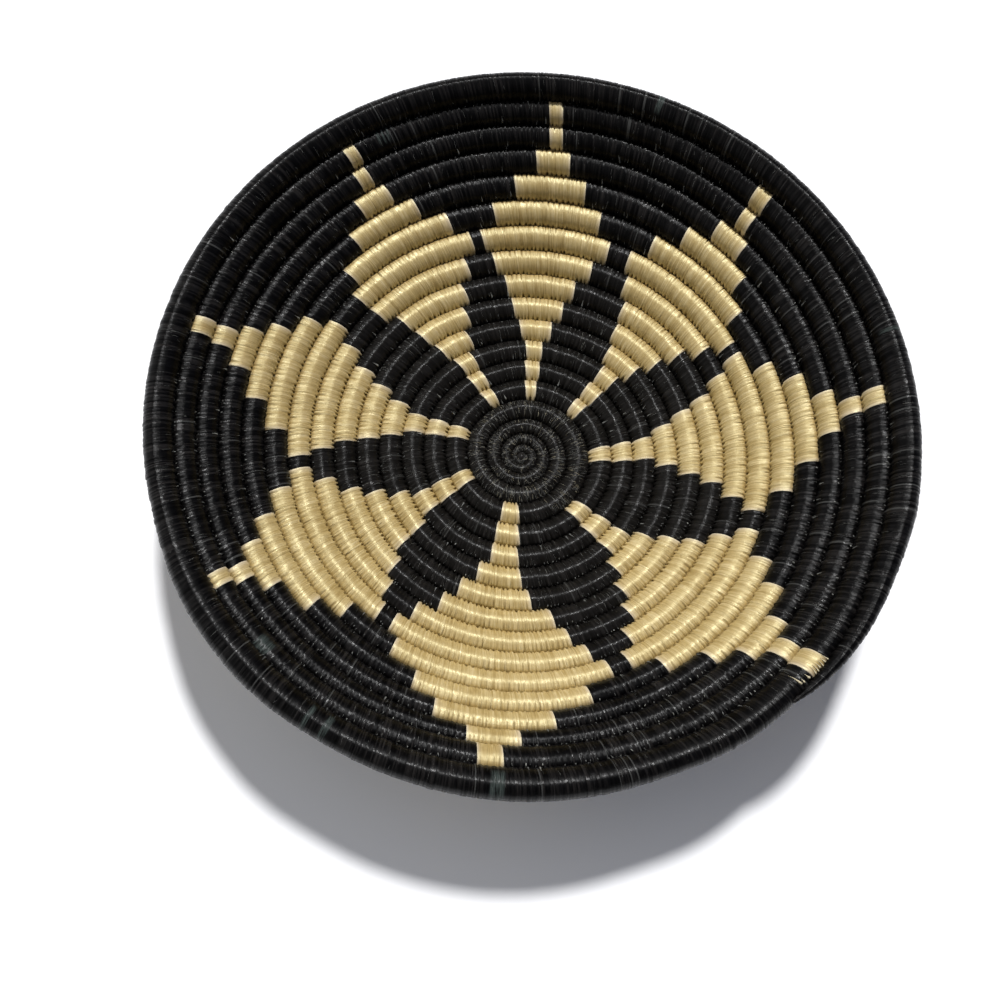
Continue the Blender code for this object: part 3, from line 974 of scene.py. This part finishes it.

# %% [markdown]
# ## Beads at the slits
# The stitches of the next round leave small beads of thread between them on the outer side of a
# round. Each bead sits beside the end of a stitch one round further out, so its place comes from
# that stitch's edge, one turn back and shifted by the slant. Their pale shades are partly pale
# thread and partly a painted highlight for the glints of light on these small bumps.

# %% Thread the beads
BEAD_ROUNDS = (3.0, 13.9)
BEAD_TRIES = 2400
bead_edges = edges[(edges > BEAD_ROUNDS[0]) & (edges < BEAD_ROUNDS[1])]
bead_turns = chance.choice(bead_edges, BEAD_TRIES, replace=False) - 1.0
bead_turns = bead_turns + SLANT * turns_of(round_width(bead_turns), bead_turns)
bead_turns = bead_turns[~is_natural(bead_turns)]
count = len(bead_turns)
beads = fibre_points(
    turn=bead_turns,
    direction=np.radians(chance.uniform(24.0, 36.0, count)),
    sweep=np.radians(chance.uniform(8.0, 16.0, count)),
    skew=chance.normal(0.0, 0.3, count) * MM,
    height=chance.uniform(0.1, 0.3, count) * MM,
    thickness=(0.08 + 0.28 * chance.uniform(0.0, 1.0, count) ** 2) * MM,
)
# The pale bead shades are partly real pale thread and partly painted highlight.
bead_piece = fibre_piece("pale_beads_and_glints", beads, chance.uniform(0.05, 0.65, count), fibre_finish)
print("beads:", len(beads))

# %% [markdown]
# ## Flecks by the tail
# Beside the rim's tail, nine pale flecks of undyed thread look out between the black stitches. A
# short table says where each lies. A fleck is a wedge like a tooth, but sweeps the other way.

# %% Lay the flecks
FLECKS = np.array((
    # turn, direction and sweep in degrees, skew, height and thickness in millimetres
    (12.9466, 50.0, -24.0, -0.3, 0.30, 0.80),
    (12.9492, 48.0, -20.0, 0.0, 0.30, 0.55),
    (12.9509, 86.0, -54.0, -0.5, 0.30, 0.72),
    (12.9355, 50.0, -36.0, -0.5, 0.5, 0.50),
    (12.9371, 48.0, -28.0, -0.2, 0.5, 0.60),
    (12.9387, 50.0, -38.0, 0.1, 0.6, 0.55),
    (12.9402, 47.0, -26.0, 0.0, 0.5, 0.60),
    (12.9416, 50.0, -34.0, 0.3, 0.6, 0.55),
    (12.9430, 48.0, -30.0, 0.5, 0.5, 0.60),
))
FLECK_SHADE = 0.9
fleck_turns = FLECKS.T[0]
fleck_angles = np.radians(FLECKS.T[1:3])
fleck_sizes = FLECKS.T[3:] * MM
flecks = fibre_points(fleck_turns, *fleck_angles, *fleck_sizes, wedge=1.0)
fleck_shades = np.full(len(FLECKS), FLECK_SHADE)
fleck_piece = fibre_piece("flecks_by_the_tail", flecks, fleck_shades, fibre_finish)
print("flecks:", len(flecks))

# %% [markdown]
# ## The grass inside
# The core of the coil is a bundle of dry grass stems. Thread covers it completely, but the piece is
# still there, for anyone who cuts the basket open. Its section is a ring of stems that twist slowly
# along the bundle, so that it reads as grass and not as a hose.

# %% Make dry grass
GRASS_SHADE = (0.26, 0.18, 0.07)
GRASS = (0.46, 0.35, 0.16)
GRASS_LIGHT = (0.60, 0.50, 0.27)


def dry_grass():
    """Dull straw with streaks along the stems."""
    material, tree, shader = new_finish("dry_grass")
    place = add_node(tree, "TexCoord").outputs["Object"]
    inputs = {"Vector": place, "Scale": 420.0, "Detail": 4.0}
    streaks = add_node(tree, "TexNoise", inputs).outputs["Fac"]
    colour = ramp(tree, streaks, (0.3, GRASS_SHADE), (0.6, GRASS), (0.8, GRASS_LIGHT))
    tree.links.new(colour, shader.inputs["Base Color"])
    shader.inputs["Roughness"].default_value = 0.8
    raise_fibres(tree, shader, streaks, 0.3 * MM)
    return material


grass_finish = dry_grass()
print("made", grass_finish.name)

# %% [markdown]
# ## Lay the bundle
# The bundle is a sleeve of rings like the stitches' own. It stays inside the thread and ends a
# little before the tail does.

# %% Lay the grass bundle
STEMS = 8
STEM_RELIEF = 0.07
STEM_TWIST = 40.0
BUNDLE_RINGS = 2400
BUNDLE_START = -3.2
BUNDLE_END = TAIL_END - 0.006
THREAD_LAYER = 1.5 * MM
LEAST_BUNDLE = 0.35 * MM
bundle_turns = np.linspace(BUNDLE_START, BUNDLE_END, BUNDLE_RINGS)[:, None]
bundle_angle = np.linspace(0.0, 2.0 * np.pi, AROUND, endpoint=False)[None, :]
bundle_width = round_width(bundle_turns)
bundle_radius = np.maximum(bundle_width * 0.5 - THREAD_LAYER, LEAST_BUNDLE)
stem_wave = 1.0 + STEM_RELIEF * np.cos(STEMS * bundle_angle + STEM_TWIST * bundle_turns)
bundle_side = groove(bundle_turns) + bundle_width / 2.0 + bundle_radius * stem_wave * np.cos(bundle_angle)
bundle_lift = bundle_radius * stem_wave * np.sin(bundle_angle)
bundle_points = with_tips(wall_point(bundle_side, bundle_turns, bundle_lift))
bundle = mesh_piece("grass_bundle", bundle_points, sleeve_faces(BUNDLE_RINGS, 0), grass_finish)
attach(bundle, "root")
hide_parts("grass_foundation")
print("bundle faces:", len(bundle.data.polygons))

# %% [markdown]
# ## The knot in the middle
# The coil starts from a small knot of thread. It fills the hole that the first tight turn would
# leave, and lies so low between the rounds that it hardly shows. Its shape is a flattened ball.

# %% Tie the first knot
KNOT_RINGS = 7
KNOT_SIDES = 16
KNOT_RADIUS = 2.2 * MM
KNOT_HALF_HEIGHT = 1.2 * MM
KNOT_CLOSING = 0.98
knot_height = np.linspace(-1.0, 1.0, KNOT_RINGS)[:, None]
knot_angle = np.linspace(0.0, 2.0 * np.pi, KNOT_SIDES, endpoint=False)[None, :]
knot_radius = KNOT_RADIUS * np.sqrt(1.0 - KNOT_CLOSING * knot_height ** 2)
knot_side = [knot_radius * np.cos(knot_angle), knot_radius * np.sin(knot_angle)]
knot_lift = KNOT_HALF_HEIGHT * knot_height + 0.0 * knot_angle
knot_rings = np.stack(knot_side + [knot_lift], axis=-1) + COIL_MIDDLE
knot_rings[..., 2] = np.maximum(knot_rings[..., 2], 0.0)
knot_faces = sleeve_faces(KNOT_RINGS, 0, KNOT_SIDES)
knot = mesh_piece("start_knot", with_tips(knot_rings), knot_faces, black_thread)
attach(knot, "root")
print("knot faces:", len(knot.data.polygons))

# %% [markdown]
# ## The floor
# The basket stands on white paper. A plain plane is enough, because the paper is stage and not part
# of the object. Where it is seen, straight or mirrored, it glows faintly, so it looks pure white to
# the camera but keeps the shadow. It lies a hair below the base, so that the two don't flicker.

# %% Lay the floor
PAPER_GLOW = 0.03
FLOOR_HALF = 1.3
FLOOR_TOP = -0.03 * MM


def white_paper():
    """Matt white paper, a little brighter where it is seen than where it lights."""
    material, tree, shader = new_finish("white_paper")
    shader.inputs["Base Color"].default_value = (0.96, 0.96, 0.97, 1.0)
    shader.inputs["Roughness"].default_value = 0.9
    path = add_node(tree, "LightPath")
    seen = calculate(tree, "MAXIMUM", path.outputs["Is Camera Ray"], path.outputs["Is Glossy Ray"])
    seen = calculate(tree, "MAXIMUM", seen, path.outputs["Is Transmission Ray"])
    shader.inputs["Emission Color"].default_value = (1.0, 1.0, 1.0, 1.0)
    strength = calculate(tree, "MULTIPLY", seen, PAPER_GLOW)
    tree.links.new(strength, shader.inputs["Emission Strength"])
    return material


corner_signs = ((-1.0, -1.0), (1.0, -1.0), (1.0, 1.0), (-1.0, 1.0))
floor_corners = [(FLOOR_HALF * x, FLOOR_HALF * y, FLOOR_TOP) for x, y in corner_signs]
floor = mesh_piece("paper_floor", floor_corners, [(0, 1, 2, 3)], white_paper())
print("floor:", 2.0 * FLOOR_HALF, "m square")

# %% [markdown]
# ## The lamp
# One lamp stands high behind the basket and throws the soft shadow towards the viewer. It is small
# and far off, because a broad lamp would spread the gloss of the thread into a grey haze.

# %% Hang the lamp
LAMP_PLACE = (0.56, 3.98, 7.02)
LAMP_TARGET = (0.0, 0.0, 0.03)
lamp_data = bpy.data.lights.new("lamp_behind", "AREA")
lamp_data.shape = "DISK"
lamp_data.size = 0.90
lamp_data.energy = 750.0
lamp = bpy.data.objects.new("lamp_behind", lamp_data)
lamp.location = LAMP_PLACE
lamp_aim = Vector(LAMP_TARGET) - Vector(LAMP_PLACE)
lamp.rotation_euler = lamp_aim.to_track_quat("-Z", "Y").to_euler()
bpy.context.scene.collection.objects.link(lamp)
print("lamp:", lamp.name, "at", [round(place, 2) for place in lamp.location])

# %% [markdown]
# ## The studio around
# The fill comes from a window side, on the left, and a little of it from a bluish wall on the other
# side and the dim room behind the camera. Each is a soft patch on the world, made from the dot
# product of a ray's direction and the patch's own. Red, green and blue are added up one by one,
# because the wall and the dimness all round are bluish. The camera itself sees plain white.

# %% Light the studio
world = bpy.data.worlds.new("studio")
world.use_nodes = True
world_tree = world.node_tree
sky = world_tree.nodes["Background"]
rays = add_node(world_tree, "LightPath")
seen = calculate(world_tree, "MAXIMUM", rays.outputs["Is Camera Ray"], rays.outputs["Is Transmission Ray"])
heading = add_node(world_tree, "TexCoord").outputs["Generated"]


def glow(direction, sharpness, strength):
    """A soft patch of light on the walls of the studio, strongest in one direction."""
    inputs = {0: heading, 1: direction}
    facing = add_node(world_tree, "VectorMath", inputs, operation="DOT_PRODUCT").outputs["Value"]
    facing = calculate(world_tree, "POWER", calculate(world_tree, "MAXIMUM", facing, 0.0), sharpness)
    return calculate(world_tree, "MULTIPLY", facing, strength)


WALL_AND_DIMNESS = (
    # strength of the wall and of the dimness all round, for red, green and blue
    (0.24, 0.016),
    (0.27, 0.018),
    (0.37, 0.026),
)
window = glow((-0.82, 0.25, 0.52), 3.0, 0.90)
room = glow((0.0, -0.9, 0.44), 3.0, 0.09)
levels = []
for wall_strength, dimness in WALL_AND_DIMNESS:
    wall = glow((0.78, 0.10, 0.62), 6.0, wall_strength)
    level = calculate(world_tree, "ADD", calculate(world_tree, "ADD", window, room), dimness)
    level = calculate(world_tree, "ADD", level, wall)
    levels.append(calculate(world_tree, "MAXIMUM", seen, level))
studio_light = add_node(world_tree, "CombineColor", dict(enumerate(levels)))
world_tree.links.new(studio_light.outputs[0], sky.inputs["Color"])
bpy.context.scene.world = world
bpy.context.scene.view_settings.view_transform = "Standard"
print("world:", world.name, "with", len(levels), "colours of light")
